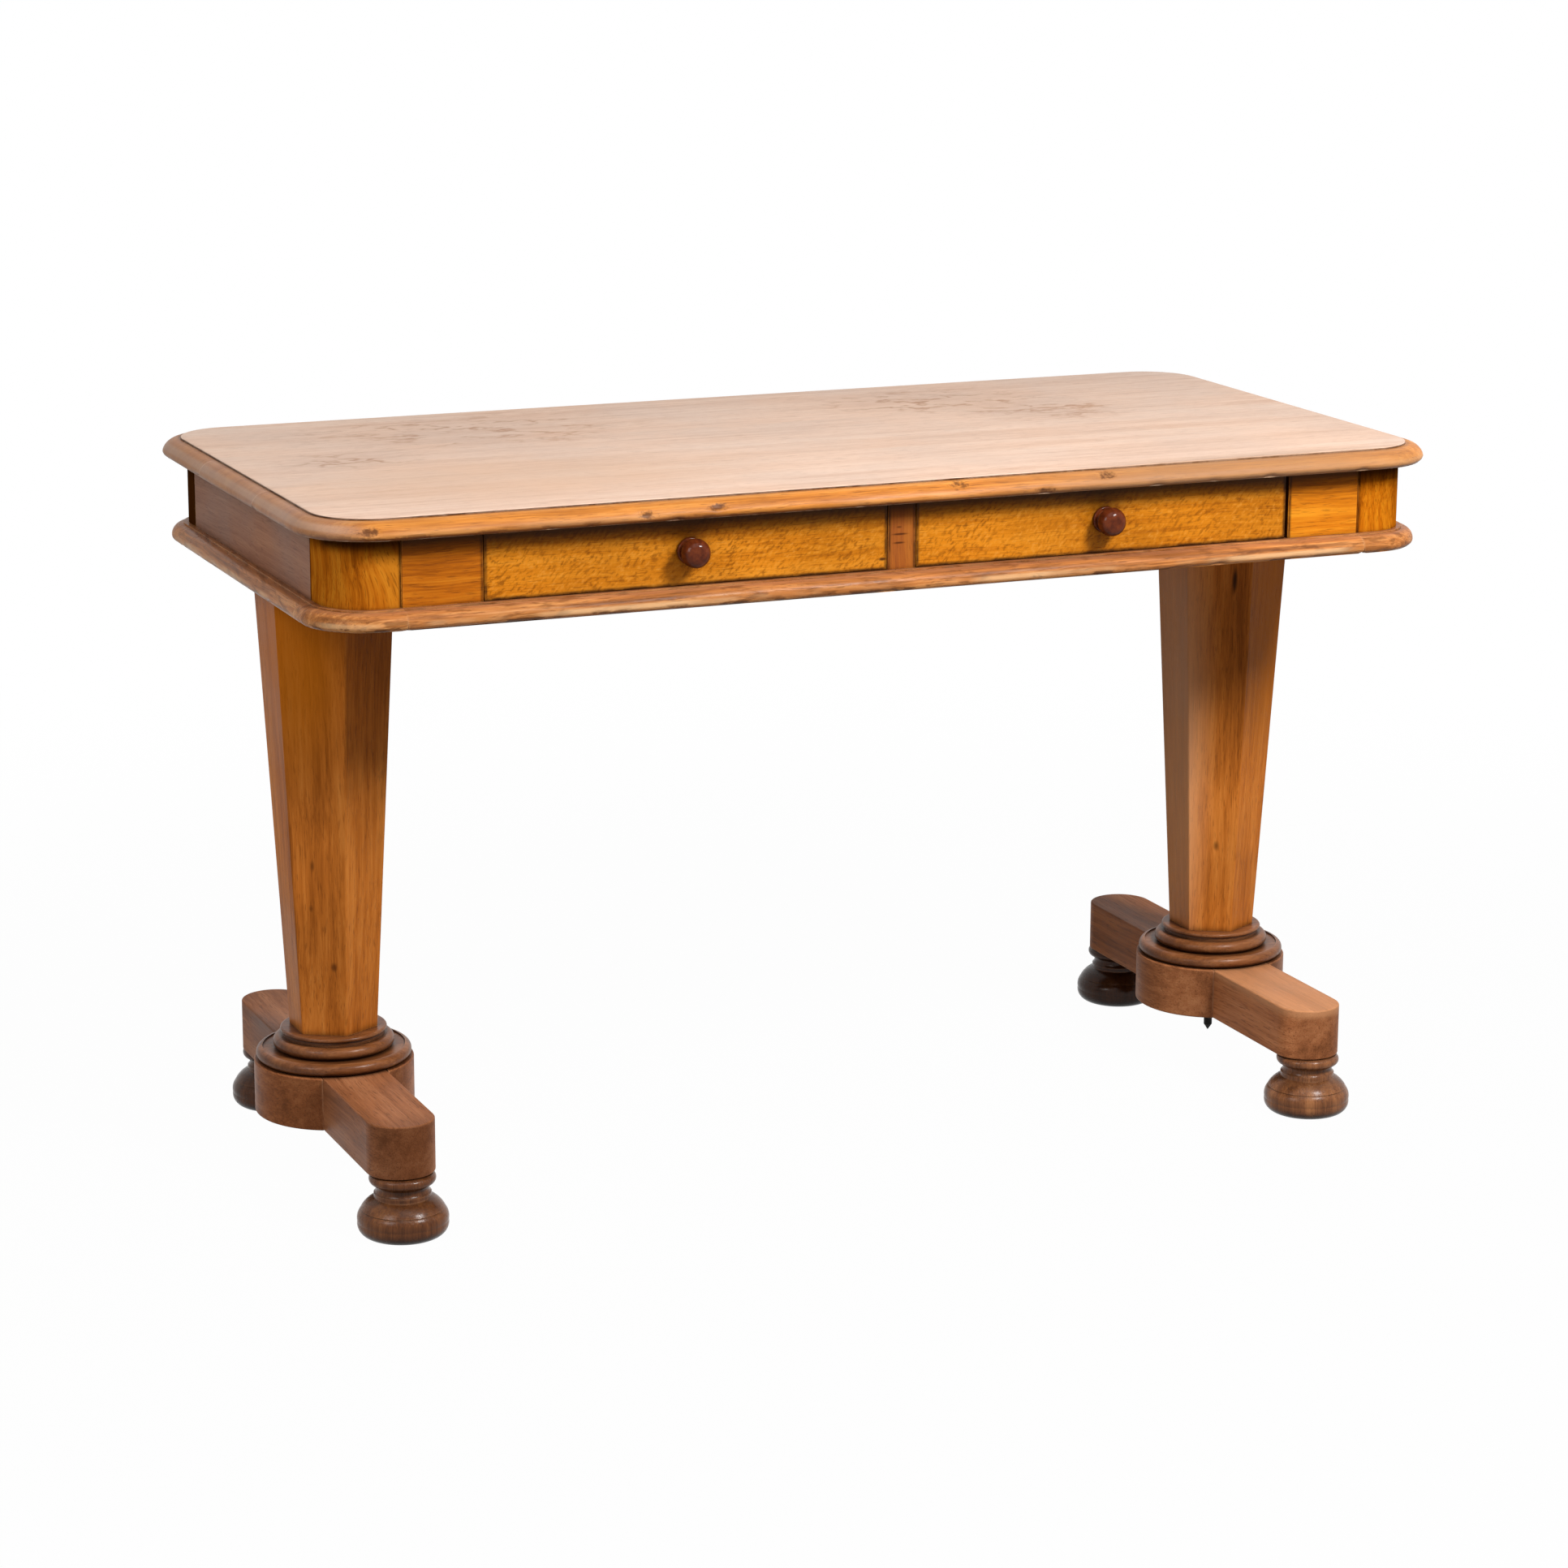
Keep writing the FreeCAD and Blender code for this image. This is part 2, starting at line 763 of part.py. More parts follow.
def foot():
    """Turned foot: spigot, bead, neck, fillet, shoulder, quirk and a broad rounded bun."""
    bead_z = foot_height - foot_bead_height
    neck_z = bead_z - foot_neck_height
    neck_r = foot_bead_radius - foot_bead_height / 2
    fillet_z = neck_z - foot_fillet_height
    shoulder_z = fillet_z - foot_shoulder_height
    spigot_z = foot_height + foot_spigot_length - bore_clearance
    face = section(
        (0, spigot_z),
        [(foot_spigot_radius, spigot_z)],
        [(foot_spigot_radius, foot_height)],
        [(neck_r, foot_height)],
        bead(foot_bead_radius, foot_height, bead_z),
        [(foot_neck_radius, (bead_z + neck_z) / 2), (foot_fillet_radius, neck_z)],
        [(foot_fillet_radius, fillet_z)],
        swollen(foot_fillet_radius, fillet_z, foot_shoulder_radius, shoulder_z, foot_shoulder_swell),
        [(foot_shoulder_radius - foot_quirk, shoulder_z)],
        over(foot_shoulder_radius - foot_quirk, shoulder_z, foot_radius, foot_widest_height),
        under(foot_radius, foot_widest_height, foot_contact_radius, 0),
        [(0, 0)],
    )
    return turned(face, column_x, bar_length / 2 - foot_inset)


def pedestals():
    shapes = {
        "column": column(),
        "collar": collar(),
        "base_bar": base_bar(),
    }
    outer = cheek()
    inner = outer.copy()
    inner.rotate(Vector(column_x, 0, 0), up, quarter_turn + quarter_turn)
    shapes["base_cheek_outer"] = outer
    shapes["base_cheek_inner"] = inner
    for where, y_sign in ends:
        shapes["foot_" + where] = mirrored(foot(), 1, y_sign)
    parts = {}
    for side, x_sign in sides:
        for name, shape in shapes.items():
            parts[name + "_" + side] = mirrored(shape, x_sign, 1)
    return parts


# Tie bolts, nuts and washers

def bolt():
    """Bolt from the top of the bearer to a pointed tail below the base."""
    tail = foot_height - bolt_tail
    seat = bearer_top + washer_thickness
    shank = rod(bolt_radius, column_x, 0, tail + bolt_point, seat)
    point = Part.makeCone(0, bolt_radius, bolt_point, Vector(column_x, 0, tail))
    head = hexagon_prism(bolt_head_flats, column_x, 0, seat, seat + bolt_head_height)
    return joined([shank, point, head])


def nut():
    top = foot_height - washer_thickness
    body = hexagon_prism(nut_flats, column_x, 0, top - nut_height, top)
    return body.cut(bore(bolt_radius, column_x, 0, top - nut_height - overrun, top + overrun))


def washer(z0):
    z1 = z0 + washer_thickness
    return rod(washer_radius, column_x, 0, z0, z1).cut(
        bore(bolt_radius, column_x, 0, z0 - overrun, z1 + overrun))


def pair(*shapes):
    """Both pedestals' copies of shapes made at +X."""
    return Part.makeCompound([mirrored(shape, x_sign, 1) for _, x_sign in sides for shape in shapes])


def tie_hardware():
    return {
        "tie_bolts": pair(bolt()),
        "tie_nuts": pair(nut()),
        "tie_washers": pair(washer(foot_height - washer_thickness), washer(bearer_top)),
    }


def whole_table():
    parts = top_boards()
    parts.update(frieze())
    parts.update(base_frame(parts["centre_muntin"]))
    cross = bearer()
    for side, x_sign in sides:
        parts["cross_bearer_" + side] = mirrored(cross, x_sign, 1)
        parts.update(drawer(side, x_sign))
    parts.update(runners())
    parts["drawer_guides"] = guides()
    parts["drawer_stops"] = stops()
    parts["glue_blocks"] = glue_blocks()
    parts["top_screws"] = top_screws()
    parts.update(pedestals())
    parts.update(tie_hardware())
    return parts


os.makedirs("parts", exist_ok=True)
for node, shape in whole_table().items():
    shape.exportStep("parts/" + node + ".step")
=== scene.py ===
import json
import math

import bmesh
import bpy
from mathutils import Matrix, Vector, noise


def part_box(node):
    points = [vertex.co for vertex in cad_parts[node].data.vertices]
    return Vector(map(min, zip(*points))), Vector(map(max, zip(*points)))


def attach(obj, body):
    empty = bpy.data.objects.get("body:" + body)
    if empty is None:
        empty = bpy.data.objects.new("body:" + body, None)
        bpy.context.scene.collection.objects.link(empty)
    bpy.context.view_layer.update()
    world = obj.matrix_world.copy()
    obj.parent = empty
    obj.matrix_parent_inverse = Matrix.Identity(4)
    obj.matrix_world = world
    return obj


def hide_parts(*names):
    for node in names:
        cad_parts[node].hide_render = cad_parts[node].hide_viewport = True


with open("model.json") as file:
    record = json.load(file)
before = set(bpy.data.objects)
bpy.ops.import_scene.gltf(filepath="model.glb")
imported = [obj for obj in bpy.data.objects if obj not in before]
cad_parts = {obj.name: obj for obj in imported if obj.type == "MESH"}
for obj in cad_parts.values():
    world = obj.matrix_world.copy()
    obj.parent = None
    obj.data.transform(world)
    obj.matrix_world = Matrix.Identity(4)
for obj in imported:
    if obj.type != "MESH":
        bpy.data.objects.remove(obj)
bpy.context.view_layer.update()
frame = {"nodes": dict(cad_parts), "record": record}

# Lengths are metres in the table's frame: X along the length, -Y the front, Z up.

# Camera, as the photograph was taken
camera_azimuth = math.radians(-23.07)
camera_elevation = math.radians(14.03)
camera_roll = math.radians(0.248)
camera_distance = 4.555
camera_aim_height = 0.3598
camera_side = -0.0081
camera_lens = 97.92
camera_sensor = 36.0

# Lights: azimuth and elevation from the middle of the table, distance, size and power
light_aim = Vector((0, 0, 0.45))
lights = {
    "key_softbox": (math.radians(24), math.radians(40), 2.7, 0.6, 74.0),
    "front_softbox": (math.radians(-14), math.radians(58), 3.4, 2.0, 20.0),
    "left_softbox": (math.radians(-62), math.radians(30), 3.2, 1.2, 33.0),
}

# Surroundings: strength of the room's glow, and the floor's size, whiteness, grey and fading distances
ambient_strength = 0.125
floor_size = 14.0
floor_white_share = 0.982
floor_grey = 0.35
floor_fade = (0.9, 2.4)

# Levels and faces of the table
top_field_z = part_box("top_board_front")[1].z
top_under_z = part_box("top_board_front")[0].z
top_step_drop = 0.0025
base_under_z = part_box("base_rail_front")[0].z
top_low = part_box("top_board_front")[0]
top_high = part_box("top_board_back")[1]
seam_width = 0.0045

# Bands along the mouldings: rises above the underside where each starts, is full, fades and ends; the pale
# lips are partly rubbed wear and partly painted highlight, and the band above the top's lip is a painted
# highlight at its left end
top_lip = (0.002, 0.005, 0.007, 0.010)
top_highlight = (0.007, 0.010, 0.013, 0.016)
base_lip = (0.002, 0.005, 0.007, 0.010)
base_line = (0.0095, 0.0115, 0.0125, 0.0145)

# Painted shade on the foot of the top's nose, and chips in the mouldings: rises where each ends and is full
nose_shade = (0.0045, 0.001)
chip_band = (0.007, 0.002)

# Painted shadow under the overhang of the top: drops where it fades and is full
overhang_shadow_band = (0.018, 0.006)

# The top's step: drops below the field where the rim's colour starts, and where its dark line lies; that
# line is dirt and painted shade on the step
rim_start = (0.0006, 0.0022)
step_line = (0.0004, 0.0009, top_step_drop - 0.0008, top_step_drop)

# The left end of the top is greyer and darker, as painted shade: distances in from the end where that fades
# and is full
grey_end = (0.067, 0.017)

# Wear cut into the moulded edges: spacing of the cross cuts, chips, ripples and the height they reach
wear_step = 0.005
chip_scale = 46.0
chip_threshold = 0.22
chip_depth = 0.0042
ripple_scale = 9.0
ripple_depth = 0.0005
wear_height = 0.007

# Worn copies: shares that tell level and outward faces, shift from copy to copy, welding and creases
level_share = 0.995
outward_share = 0.25
wear_shift = 7.3
weld_distance = 1e-6
crease_angle = math.radians(32)

# Nicks in the front nose of the top: shares of its length and thickness, half-sizes and depth
nick_shares = ((0.045, 0.46), (0.271, 0.38), (0.331, 0.54), (0.543, 0.75), (0.618, 0.17), (0.675, 0.71))
nick_sizes = (0.012, 0.0045)
nick_depth = 0.0022
nick_reach = 0.03


def inside(node, x_share, y_share, z_share):
    """Place in a node's box, as shares of its length, depth and height from the low corner."""
    low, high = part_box(node)
    return low + Vector((x_share, y_share, z_share)) * (high - low)


def on_top(x_share, y_share):
    """Place on the field of the top, as shares of its length and depth."""
    spread = top_high - top_low
    return Vector((top_low.x + x_share * spread.x, top_low.y + y_share * spread.y, top_field_z))


def srgb(red, green, blue):
    """Colour written as seen on a screen, 0 to 255, turned into the renderer's linear values."""
    def linear(value):
        share = value / 255
        return share / 12.92 if share <= 0.04045 else ((share + 0.055) / 1.055) ** 2.4
    return (linear(red), linear(green), linear(blue), 1.0)


class Graph:
    """Node tree of a material or a world; each call adds a node and returns its output."""

    def __init__(self, owner):
        owner.use_nodes = True
        self.owner = owner
        self.tree = owner.node_tree
        self.tree.nodes.clear()

    def add(self, kind, inputs=(), **settings):
        node = self.tree.nodes.new(kind)
        for key, value in settings.items():
            setattr(node, key, value)
        for key, value in dict(inputs).items():
            self.feed(node.inputs[key], value)
        return node

    def feed(self, socket, value):
        if isinstance(value, bpy.types.NodeSocket):
            self.tree.links.new(value, socket)
        else:
            socket.default_value = value

    def place(self):
        return self.add("ShaderNodeTexCoord").outputs["Object"]

    def math(self, operation, a, b=0.0):
        return self.add("ShaderNodeMath", {0: a, 1: b}, operation=operation).outputs[0]

    def vector(self, operation, a, b):
        return self.add("ShaderNodeVectorMath", {0: a, 1: b}, operation=operation).outputs[0]

    def length(self, a):
        return self.add("ShaderNodeVectorMath", {0: a}, operation="LENGTH").outputs["Value"]

    def axis(self, vector, name):
        return self.add("ShaderNodeSeparateXYZ", {0: vector}).outputs[name]

    def noise(self, vector, scale, detail, roughness, out="Fac"):
        inputs = {"Vector": vector, "Scale": scale, "Detail": detail, "Roughness": roughness}
        return self.add("ShaderNodeTexNoise", inputs).outputs[out]

    def ramp(self, value, low, high, start=0.0, end=1.0):
        """Smooth step from start to end while value goes from low to high."""
        inputs = {"Value": value, 1: low, 2: high, 3: start, 4: end}
        return self.add("ShaderNodeMapRange", inputs, interpolation_type="SMOOTHSTEP").outputs[0]

    def band(self, value, start, full, fades, end):
        """1 between two values, falling smoothly to 0 on both sides."""
        return self.math("MULTIPLY", self.ramp(value, start, full), self.ramp(value, end, fades))

    def normal(self, axis):
        """How far the face looks along one axis of the table."""
        return self.axis(self.add("ShaderNodeTexCoord").outputs["Normal"], axis)

    def mix(self, share, a, b, blend="MIX"):
        node = self.add("ShaderNodeMix", {0: share, 6: a, 7: b}, data_type="RGBA", blend_type=blend)
        return node.outputs[2]

    def tones(self, value, dark, middle, light):
        """Colour that runs from dark through middle to light as value goes from 0 to 1."""
        node = self.add("ShaderNodeValToRGB", {0: value})
        stops = node.color_ramp.elements
        stops[0].color = dark
        stops[1].color = light
        stops.new(0.5).color = middle
        return node.outputs[0]

    def along_grain(self, axis, seed):
        """Object place turned so that X runs along the grain, and shifted so that no two boards match."""
        turns = {"X": (0, 0, 0), "Y": (0, 0, -math.pi / 2), "Z": (0, math.pi / 2, 0)}
        shift = [seed * step for step in board_shift]
        inputs = {"Vector": self.place(), "Location": shift, "Rotation": turns[axis]}
        return self.add("ShaderNodeMapping", inputs).outputs[0]

    def streaky(self, vector, stretch, scale, detail, roughness):
        """Noise drawn out along the grain."""
        narrow = self.vector("MULTIPLY", vector, (1.0, stretch, stretch))
        return self.noise(narrow, scale, detail, roughness)

    def swayed(self, vector, place, slow_noise, reach):
        """A vector moved about by a slow noise, by up to about half the reach along each axis."""
        wander = self.vector("SUBTRACT", self.noise(place, *slow_noise, out="Color"), (0.5, 0.5, 0.5))
        return self.vector("ADD", vector, self.vector("MULTIPLY", wander, reach))

    def edges(self, radius):
        """1 on worn edges and 0 on flat or gently curved faces."""
        rounded = self.add("ShaderNodeBevel", {"Radius": radius}, samples=edge_samples).outputs[0]
        normal = self.add("ShaderNodeNewGeometry").outputs["Normal"]
        turn = self.add("ShaderNodeVectorMath", {0: rounded, 1: normal}, operation="DOT_PRODUCT")
        return self.ramp(turn.outputs["Value"], 0.99, 0.86)

    def hollows(self, distance):
        """1 in corners and quirks, where dirt stays and shade is painted; 0 in the open."""
        seen = self.add("ShaderNodeAmbientOcclusion", {"Distance": distance}, samples=edge_samples)
        return self.ramp(seen.outputs["AO"], 0.8, 0.3)

    def spot(self, place, centre, radii, ragged=0.0):
        """1 at the middle of a soft oval patch, falling to 0 at its rim, which may be ragged."""
        moved = self.vector("SUBTRACT", place, centre)
        away = self.length(self.vector("DIVIDE", moved, radii))
        if ragged:
            uneven = self.math("SUBTRACT", self.noise(place, *ragged_noise), 0.5)
            away = self.math("ADD", away, self.math("MULTIPLY", uneven, ragged))
        return self.ramp(away, 1.0, 0.25)

    def finish(self, colour, roughness, height, coat, bump, coat_roughness=0.25, specular=0.16):
        """Joins the parts of a look in one shader and returns the material."""
        normal = self.add("ShaderNodeBump", {"Strength": bump, "Distance": bump_distance, "Height": height})
        shader = self.add("ShaderNodeBsdfPrincipled", {
            "Base Color": colour,
            "Roughness": roughness,
            "Normal": normal.outputs[0],
            "Coat Weight": coat,
            "Coat Roughness": coat_roughness,
            "Specular IOR Level": specular,
        })
        output = self.add("ShaderNodeOutputMaterial")
        self.tree.links.new(shader.outputs[0], output.inputs[0])
        return self.owner


# Shift from board to board, depth of the bump, and samples that find edges and hollows
board_shift = (0.37, 0.61, 0.83)
bump_distance = 0.0006
edge_samples = 6

# Streaky noises: how far each is drawn out along the grain, its scale, detail and roughness
band_noise = (18.0, 2.0, 3.0, 0.55)
streak_noise = (26.0, 6.0, 4.0, 0.6)
fine_noise = (44.0, 14.0, 3.0, 0.6)
pore_noise = (16.0, 52.0, 2.0, 0.55)
slanted_noise = (11.0, 13.0, 3.0, 0.6)
base_chip_noise = (3.0, 30.0, 3.0, 0.6)
top_chip_noise = (2.5, 34.0, 4.0, 0.65)
fleck_noise = (2.3, 150.0, 3.0, 0.55)
knob_noise = (6.0, 24.0, 3.0, 0.55)

# Even noises: scale, detail and roughness
mottle_noise = (8.0, 3.0, 0.55)
worn_noise = (38.0, 4.0, 0.65)
ragged_noise = (160.0, 3.0, 0.65)
figure_noise = (8.0, 4.0, 0.6)
figure_gap_noise = (18.0, 4.0, 0.65)
seam_noise = (60.0, 3.0, 0.55)
base_lip_noise = (9.0, 3.0, 0.55)
top_lip_noise = (5.0, 3.0, 0.55)
fleck_group_noise = (16.0, 3.0, 0.55)
knob_gloss_noise = (60.0, 3.0, 0.55)
rust_noise = (120.0, 4.0, 0.55)

# Shares of the coarse, middle and fine grain in the tone of a wood, and of fine grain and pores in its bump
band_share = 0.42
streak_share = 0.34
fine_share = 0.24
fine_bump_share = 0.5
pore_bump_share = 0.6

# Woods that don't set their own: unevenness of the tone, and reach of the dirt and painted shade in
# hollows; roughness below and above
usual_mottle = 0.11
usual_hollow = 0.012
rough_spread = (0.07, 0.09)

# Slow sway of the grain and of the flecks on the drawer fronts: its noise, as above, and its reach
grain_sway_noise = (4.0, 2.0, 0.55)
grain_sway = 0.016
fleck_sway_noise = (6.0, 2.0, 0.55)
fleck_sway = 0.04

# Angles to the grain: flecks on the drawer fronts and streaks on the mouldings
fleck_lean = math.radians(38)
streak_slant = 0.16

# Tones laid over the woods
dust_tone = srgb(150, 100, 72)
figure_tone = srgb(158, 104, 58)
tan_tone = srgb(206, 160, 122)
step_tone = srgb(46, 26, 16)
left_end_shade_tone = srgb(146, 108, 88)
painted_highlight_tone = srgb(196, 164, 142)
dull_tan_tone = srgb(152, 114, 82)
nick_tone = srgb(74, 36, 14)
knot_and_shade_tone = srgb(56, 26, 8)
shade_tone = srgb(84, 42, 16)
gold_tone = srgb(190, 104, 4)
pale_tone = srgb(216, 156, 110)
painted_light_tone = srgb(238, 178, 132)
brown_tone = srgb(140, 78, 44)

# Dark, middle and light tones of the knobs and the iron
knob_tones = (srgb(70, 28, 12), srgb(90, 38, 16), srgb(106, 48, 20))
iron_tones = (srgb(14, 13, 13), srgb(30, 27, 26), srgb(64, 44, 34))

# Looks of the woods: three tones and how far they spread, pores, worn edges, grime and painted shade, and
# gloss
looks = {
    "top_oak": dict(
        dark=srgb(196, 154, 126), middle=srgb(220, 186, 163), light=srgb(230, 203, 183),
        spread=0.34, mottle=0.05,
        pore=srgb(150, 104, 76), pores=0.35, worn=srgb(226, 190, 160), grime=srgb(70, 42, 24),
        rough=0.46, coat=0.02, specular=0.16, edge=0.003),
    "rim_oak": dict(
        dark=srgb(150, 84, 28), middle=srgb(196, 123, 50), light=srgb(218, 153, 80), spread=0.2,
        pore=srgb(104, 56, 20), pores=0.5, worn=srgb(234, 190, 140), rough=0.3),
    "frieze_oak": dict(
        dark=srgb(140, 70, 10), middle=srgb(186, 102, 18), light=srgb(208, 128, 32), spread=0.17,
        pore=srgb(104, 52, 8), pores=0.5, worn=srgb(214, 146, 66), grime=srgb(50, 24, 8),
        rough=0.34, coat=0.02, specular=0.06, edge=0.002, hollow=0.045),
    "end_oak": dict(
        dark=srgb(118, 74, 50), middle=srgb(150, 100, 72), light=srgb(170, 120, 88), spread=0.26,
        pore=srgb(96, 60, 42), pores=0.45, worn=srgb(196, 146, 110), grime=srgb(50, 26, 12),
        rough=0.42, coat=0.0, specular=0.04, edge=0.002),
    "drawer_front_oak": dict(
        dark=srgb(158, 84, 8), middle=srgb(197, 118, 20), light=srgb(218, 142, 40), spread=0.24,
        pore=srgb(112, 56, 4), pores=0.45, worn=srgb(226, 160, 66), grime=srgb(50, 24, 6),
        rough=0.34, coat=0.02, specular=0.08, edge=0.002, hollow=0.045),
    "moulding_oak": dict(
        dark=srgb(128, 76, 38), middle=srgb(182, 114, 60), light=srgb(216, 153, 92), spread=0.17,
        pore=srgb(96, 54, 26), pores=0.5, worn=srgb(230, 186, 138), grime=srgb(60, 34, 18),
        rough=0.3, coat=0.02, specular=0.06, edge=0.004),
    "column_oak": dict(
        dark=srgb(138, 72, 20), middle=srgb(186, 106, 38), light=srgb(212, 132, 58), spread=0.2,
        pore=srgb(84, 42, 12), pores=0.35, worn=srgb(206, 138, 70), grime=srgb(50, 24, 10),
        rough=0.4, coat=0.0, specular=0.04, edge=0.003),
    "pedestal_oak": dict(
        dark=srgb(104, 62, 36), middle=srgb(150, 94, 60), light=srgb(178, 120, 82), spread=0.22,
        pore=srgb(66, 36, 20), pores=0.5, worn=srgb(192, 140, 104), grime=srgb(46, 24, 12),
        rough=0.42, coat=0.0, specular=0.06, edge=0.003),
    "foot_oak": dict(
        dark=srgb(70, 38, 20), middle=srgb(112, 68, 40), light=srgb(142, 92, 56), spread=0.2,
        pore=srgb(46, 26, 14), pores=0.4, worn=srgb(164, 114, 78), grime=srgb(30, 14, 6),
        rough=0.22, coat=0.1, specular=0.12, edge=0.003, hollow=0.02),
    "collar_oak": dict(
        dark=srgb(84, 46, 22), middle=srgb(124, 74, 40), light=srgb(152, 98, 58), spread=0.22,
        pore=srgb(60, 32, 16), pores=0.4, worn=srgb(170, 116, 76), grime=srgb(34, 16, 8),
        rough=0.3, coat=0.05, specular=0.14, edge=0.003),
    "inner_pine": dict(
        dark=srgb(150, 108, 66), middle=srgb(186, 142, 92), light=srgb(206, 166, 116), spread=0.22,
        pore=srgb(120, 82, 46), pores=0.3, worn=srgb(214, 178, 132), grime=srgb(70, 46, 26),
        rough=0.62, coat=0.0, specular=0.2, edge=0.002),
}
looks["corner_oak"] = dict(looks["frieze_oak"], sway=0.15, spread=0.13, coat=0.0, specular=0.0)
looks["shaded_oak"] = dict(looks["frieze_oak"], coat=0.0, specular=0.0)


def grain(graph, look, axis, seed):
    """Place, base colour, height for bump and roughness of a board whose grain runs along one axis."""
    place = graph.along_grain(axis, seed)
    sway = look.get("sway", grain_sway)
    lines = graph.swayed(place, place, grain_sway_noise, (0.0, sway, sway))
    bands = graph.streaky(lines, *band_noise)
    streaks = graph.streaky(lines, *streak_noise)
    fine = graph.streaky(lines, *fine_noise)
    pores = graph.streaky(lines, *pore_noise)
    mottle = graph.noise(place, *mottle_noise)
    tone = graph.math("MULTIPLY", bands, band_share)
    tone = graph.math("ADD", tone, graph.math("MULTIPLY", streaks, streak_share))
    tone = graph.math("ADD", tone, graph.math("MULTIPLY", fine, fine_share))
    tone = graph.ramp(tone, 0.5 - look["spread"], 0.5 + look["spread"])
    colour = graph.tones(tone, look["dark"], look["middle"], look["light"])
    unevenness = look.get("mottle", usual_mottle)
    shade = graph.ramp(mottle, 0.3, 0.7, 1 - unevenness, 1 + unevenness)
    grey = graph.add("ShaderNodeCombineXYZ", {0: shade, 1: shade, 2: shade}).outputs[0]
    colour = graph.mix(1.0, colour, grey, "MULTIPLY")
    holes = graph.ramp(pores, 0.56, 0.68)
    colour = graph.mix(graph.math("MULTIPLY", holes, look["pores"]), colour, look["pore"])
    raised = graph.math("MULTIPLY", fine, fine_bump_share)
    height = graph.math("SUBTRACT", raised, graph.math("MULTIPLY", holes, pore_bump_share))
    below, above = rough_spread
    rough = graph.ramp(mottle, 0.25, 0.75, look["rough"] - below, look["rough"] + above)
    return place, colour, height, rough


def aged(graph, look, place, colour, worn_share, grime_and_shade_share):
    """Rubbed edges, and dirt and painted shade in the hollows."""
    broken = graph.ramp(graph.noise(place, *worn_noise), 0.38, 0.58)
    rubbed = graph.math("MULTIPLY", graph.math("MULTIPLY", graph.edges(look["edge"]), broken), worn_share)
    colour = graph.mix(rubbed, colour, look["worn"])
    # Darkening in the hollows, partly dirt and partly painted shade
    dirt_and_shade = graph.math("MULTIPLY", graph.hollows(look.get("hollow", usual_hollow)), grime_and_shade_share)
    return graph.mix(dirt_and_shade, colour, look["grime"])


def end_grain(graph, look, axis, colour, share):
    """Faces cut across the grain drink more polish, so they are darker."""
    facing = graph.math("ABSOLUTE", graph.normal(axis))
    return graph.mix(graph.ramp(facing, 0.45, 0.92, 0.0, share), colour, look["pore"])


def stained(graph, colour, marks, ragged=0.0):
    """Oval marks: each has a tone, a strength, a centre and half-sizes."""
    here = graph.place()
    for tone, strength, centre, radii in marks:
        share = graph.math("MULTIPLY", graph.spot(here, centre, radii, ragged), strength)
        colour = graph.mix(share, colour, tone)
    return colour


def seamed(graph, look, node, colour):
    """Dark lines beside the joints of a frieze piece, but not on the faces that meet in them."""
    low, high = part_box(node)
    here = graph.place()
    nearest = 1.0
    for end, axis in joint_sides(node):
        level = getattr(low if end == "-" else high, axis.lower())
        away = graph.math("ABSOLUTE", graph.math("SUBTRACT", graph.axis(here, axis), level))
        facing = graph.ramp(graph.math("ABSOLUTE", graph.normal(axis)), 0.6, 0.9)
        nearest = graph.math("MINIMUM", graph.math("ADD", away, facing), nearest)
    broken = graph.ramp(graph.noise(here, *seam_noise), 0.3, 0.6, 0.55, 0.95)
    share = graph.math("MULTIPLY", graph.ramp(nearest, seam_width, seam_width / 4), broken)
    return graph.mix(share, colour, look["grime"])


def painted_overhang_shadow(graph, look, colour):
    """Painted shadow on the front of the frieze, just under the overhang of the top."""
    drop = graph.math("SUBTRACT", top_under_z, graph.axis(graph.place(), "Z"))
    facing = graph.ramp(graph.math("MULTIPLY", graph.normal("Y"), -1.0), 0.05, 0.4)
    share = graph.math("MULTIPLY", graph.ramp(drop, *overhang_shadow_band, 0.0, 0.85), facing)
    return graph.mix(share, colour, look["grime"])


def plain_wood(name, look_name, axis, seed, node):
    """Wood of a plain piece, with its tint, marks, seams, painted shadow under the overhang, wear, and dirt
    and painted shade in hollows.
    """
    look = looks[look_name]
    graph = Graph(bpy.data.materials.new(name))
    place, colour, height, rough = grain(graph, look, axis, seed)
    colour = end_grain(graph, look, axis, colour, share=0.4)
    colour = graph.mix(1.0, colour, tints.get(node, (1, 1, 1, 1)), "MULTIPLY")
    colour = stained(graph, colour, marks_on(node))
    if joint_sides(node):
        colour = seamed(graph, look, node, colour)
        # Painted shadow of the top's overhang along the upper edge of the frieze
        colour = painted_overhang_shadow(graph, look, colour)
    colour = aged(graph, look, place, colour, worn_share=0.6, grime_and_shade_share=0.85)
    return graph.finish(colour, rough, height, look["coat"], bump=0.35, specular=look["specular"])


